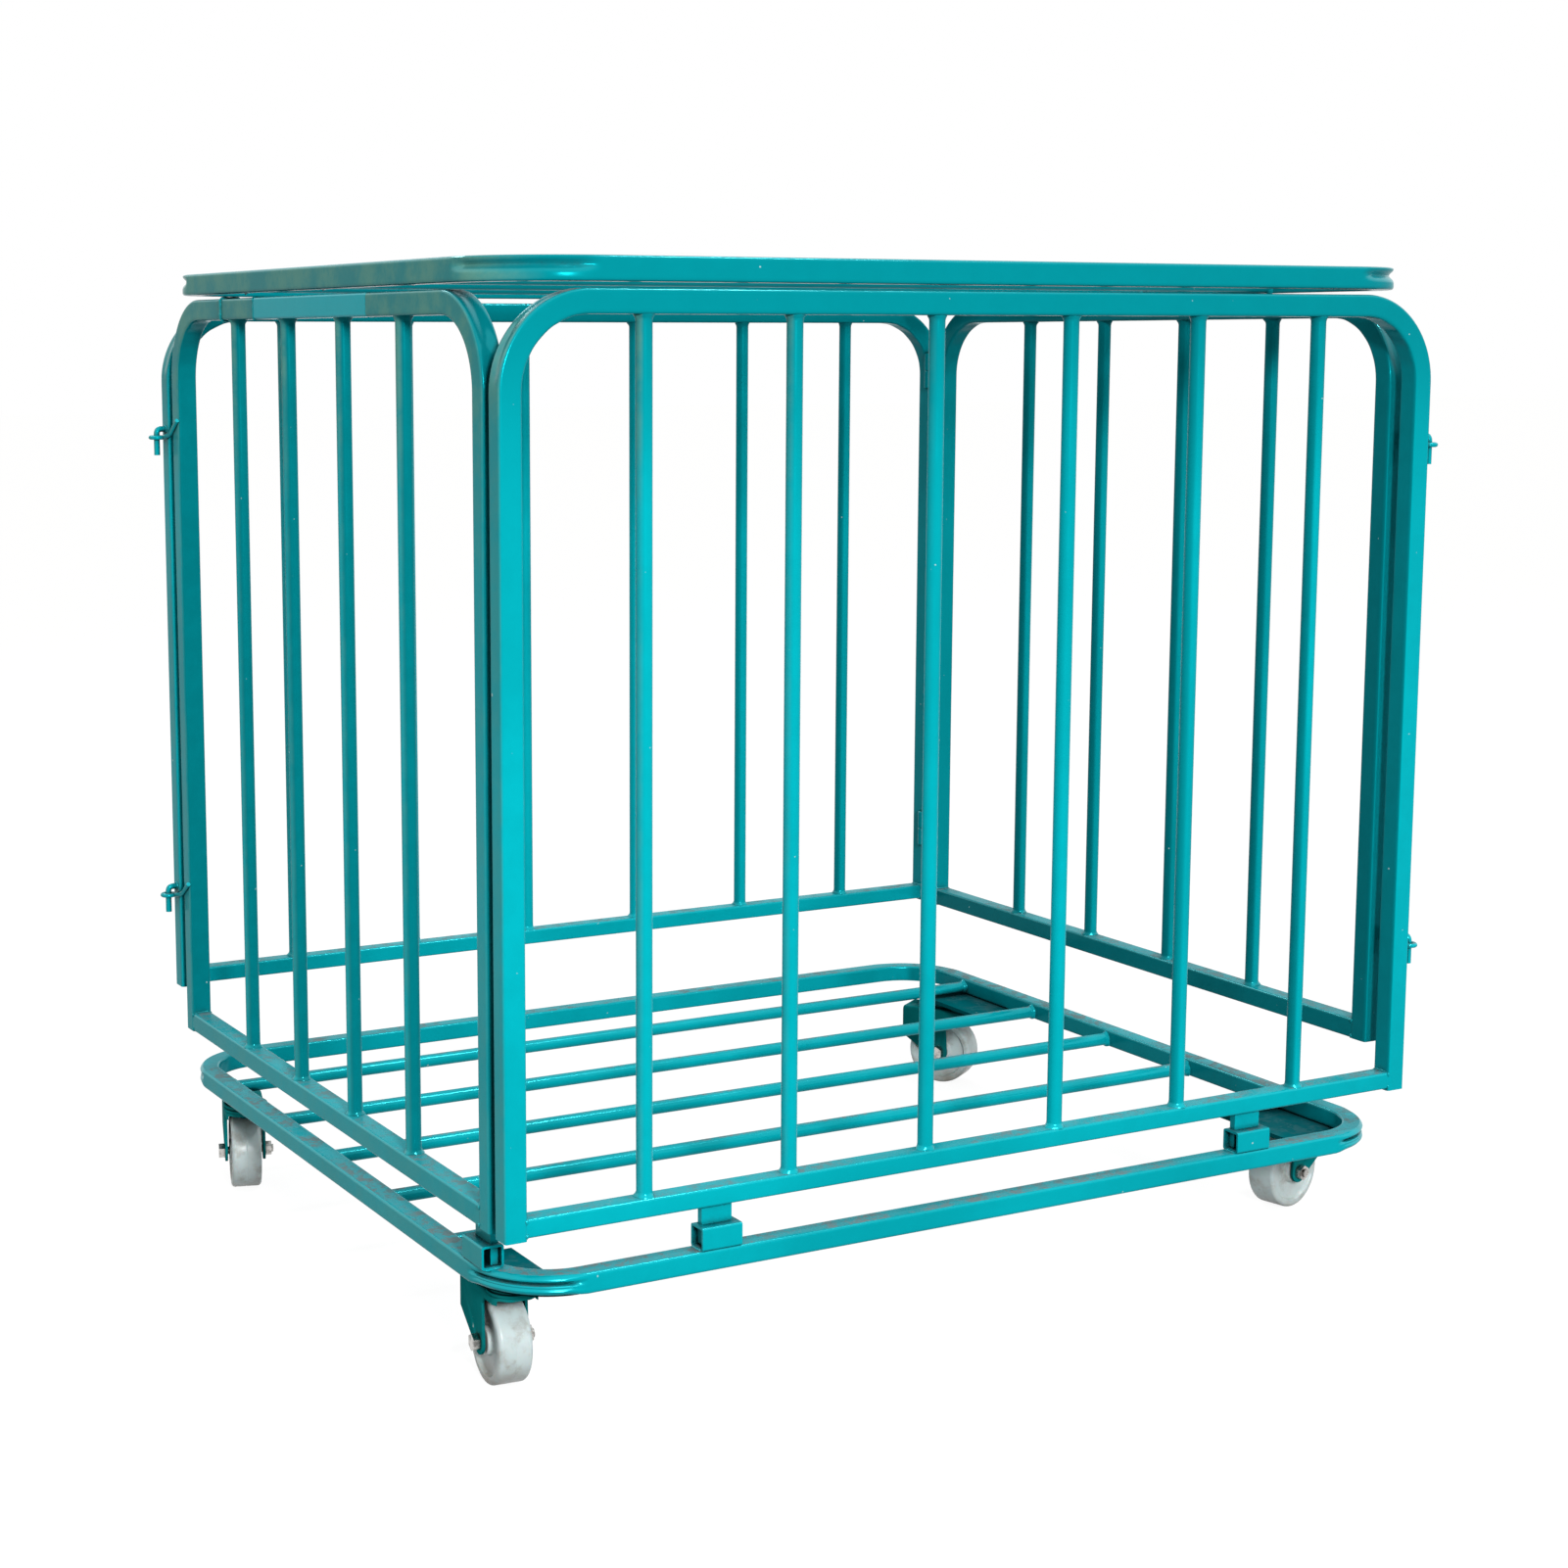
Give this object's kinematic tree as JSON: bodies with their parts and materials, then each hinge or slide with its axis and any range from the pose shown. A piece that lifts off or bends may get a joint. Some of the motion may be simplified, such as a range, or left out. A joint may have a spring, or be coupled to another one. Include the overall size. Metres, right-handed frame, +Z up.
{
  "type": "ball basket",
  "caption": "Wheeled ball basket: a barred tube cage with folding panels and a hinged lid on a caster base ring.",
  "frame": {"origin": "middle of the whole basket's footprint, on the floor", "axes": "+X along the front from left to right, +Y from the front to the hinged back, +Z up"},
  "size_m": [1.0009, 0.8152, 0.9285],
  "materials": {
    "teal_enamel": "gloss enamel",
    "base_enamel": "gloss enamel",
    "caster_enamel": "satin enamel",
    "caster_nylon": "cloudy white nylon",
    "zinc_bolt": "zinc plate"
  },
  "bodies": {
    "base": {"base_ring": "base_enamel", "floor_bar_1": "base_enamel", "floor_bar_2": "base_enamel", "floor_bar_3": "base_enamel", "floor_bar_4": "base_enamel", "floor_bar_5": "base_enamel", "front_left_corner_plate": "base_enamel", "front_right_corner_plate": "base_enamel", "back_left_corner_plate": "base_enamel", "back_right_corner_plate": "base_enamel"},
    "front_left_fork": {"front_left_caster_fork": "caster_enamel", "front_left_caster_axle": "zinc_bolt"},
    "front_left_wheel": {"front_left_caster_wheel": "caster_nylon"},
    "front_right_fork": {"front_right_caster_fork": "caster_enamel", "front_right_caster_axle": "zinc_bolt"},
    "front_right_wheel": {"front_right_caster_wheel": "caster_nylon"},
    "back_left_fork": {"back_left_caster_fork": "caster_enamel", "back_left_caster_axle": "zinc_bolt"},
    "back_left_wheel": {"back_left_caster_wheel": "caster_nylon"},
    "back_right_fork": {"back_right_caster_fork": "caster_enamel", "back_right_caster_axle": "zinc_bolt"},
    "back_right_wheel": {"back_right_caster_wheel": "caster_nylon"},
    "front_panel": {"front_frame": "teal_enamel", "front_bottom_rail": "teal_enamel", "front_bar_1": "teal_enamel", "front_bar_2": "teal_enamel", "front_bar_3": "teal_enamel", "front_bar_4": "teal_enamel", "front_bar_5": "teal_enamel", "front_bar_6": "teal_enamel", "near_hinge_pin_upper": "caster_enamel", "near_hinge_pin_lower": "caster_enamel"},
    "left_panel": {"left_frame": "teal_enamel", "left_bottom_rail": "teal_enamel", "left_bar_1": "teal_enamel", "left_bar_2": "teal_enamel", "left_bar_3": "teal_enamel", "left_bar_4": "teal_enamel"},
    "back_panel": {"back_frame": "teal_enamel", "back_bottom_rail": "teal_enamel", "back_bar_1": "teal_enamel", "back_bar_2": "teal_enamel", "back_bar_3": "teal_enamel", "back_bar_4": "teal_enamel", "back_bar_5": "teal_enamel", "back_bar_6": "teal_enamel", "far_hinge_pin_upper": "caster_enamel", "far_hinge_pin_lower": "caster_enamel", "lid_hinge_pin_left": "caster_enamel", "lid_hinge_pin_right": "caster_enamel"},
    "right_panel": {"right_frame": "teal_enamel", "right_bottom_rail": "teal_enamel", "right_bar_1": "teal_enamel", "right_bar_2": "teal_enamel", "right_bar_3": "teal_enamel", "right_bar_4": "teal_enamel"},
    "lid": {"lid_frame": "teal_enamel", "lid_bar_1": "teal_enamel", "lid_bar_2": "teal_enamel", "lid_bar_3": "teal_enamel"}
  },
  "joints": [
    {"name": "front_left_caster_swivel", "type": "hinge", "parent": "base", "child": "front_left_fork", "pos_m": [-0.4445, -0.3395, 0.09], "axis": [0, 0, 1], "continuous": true},
    {"name": "front_left_wheel_spin", "type": "hinge", "parent": "front_left_fork", "child": "front_left_wheel", "pos_m": [-0.44206, -0.31161, 0.0375], "axis": [-0.9962, 0.0872, 0], "continuous": true},
    {"name": "front_right_caster_swivel", "type": "hinge", "parent": "base", "child": "front_right_fork", "pos_m": [0.425, -0.268, 0.09], "axis": [0, 0, 1], "continuous": true},
    {"name": "front_right_wheel_spin", "type": "hinge", "parent": "front_right_fork", "child": "front_right_wheel", "pos_m": [0.45225, -0.26156, 0.0375], "axis": [-0.23, 0.9732, 0], "continuous": true},
    {"name": "back_left_caster_swivel", "type": "hinge", "parent": "base", "child": "back_left_fork", "pos_m": [-0.4574, 0.2625, 0.09], "axis": [0, 0, 1], "continuous": true},
    {"name": "back_left_wheel_spin", "type": "hinge", "parent": "back_left_fork", "child": "back_left_wheel", "pos_m": [-0.44945, 0.28935, 0.0375], "axis": [-0.9588, 0.284, 0], "continuous": true},
    {"name": "back_right_caster_swivel", "type": "hinge", "parent": "base", "child": "back_right_fork", "pos_m": [0.43, 0.2545, 0.09], "axis": [0, 0, 1], "continuous": true},
    {"name": "back_right_wheel_spin", "type": "hinge", "parent": "back_right_fork", "child": "back_right_wheel", "pos_m": [0.41434, 0.27771, 0.0375], "axis": [-0.829, -0.5592, 0], "continuous": true},
    {"name": "cage_lift", "type": "slide", "parent": "base", "child": "front_panel", "axis": [0, 0, 1], "range_m": [0, 0.06]},
    {"name": "left_panel_fold", "type": "hinge", "parent": "front_panel", "child": "left_panel", "pos_m": [-0.4585, -0.3823, 0.5], "axis": [0, 0, -1], "range_deg": [0, 90]},
    {"name": "right_panel_fold", "type": "hinge", "parent": "front_panel", "child": "right_panel", "pos_m": [0.477, -0.3975, 0.5], "axis": [0, 0, -1], "range_deg": [0, 90]},
    {"name": "back_panel_fold", "type": "hinge", "parent": "left_panel", "child": "back_panel", "pos_m": [-0.492, 0.3885, 0.5], "axis": [0, 0, 1], "range_deg": [0, 90]},
    {"name": "lid_hinge", "type": "hinge", "parent": "back_panel", "child": "lid", "pos_m": [-0.0075, 0.4035, 0.906], "axis": [-1, 0, 0], "range_deg": [0, 190]}
  ],
  "couplings": [
    {"joint": "right_panel_fold", "follows": "left_panel_fold", "ratio": 1},
    {"joint": "back_panel_fold", "follows": "left_panel_fold", "ratio": 1}
  ]
}
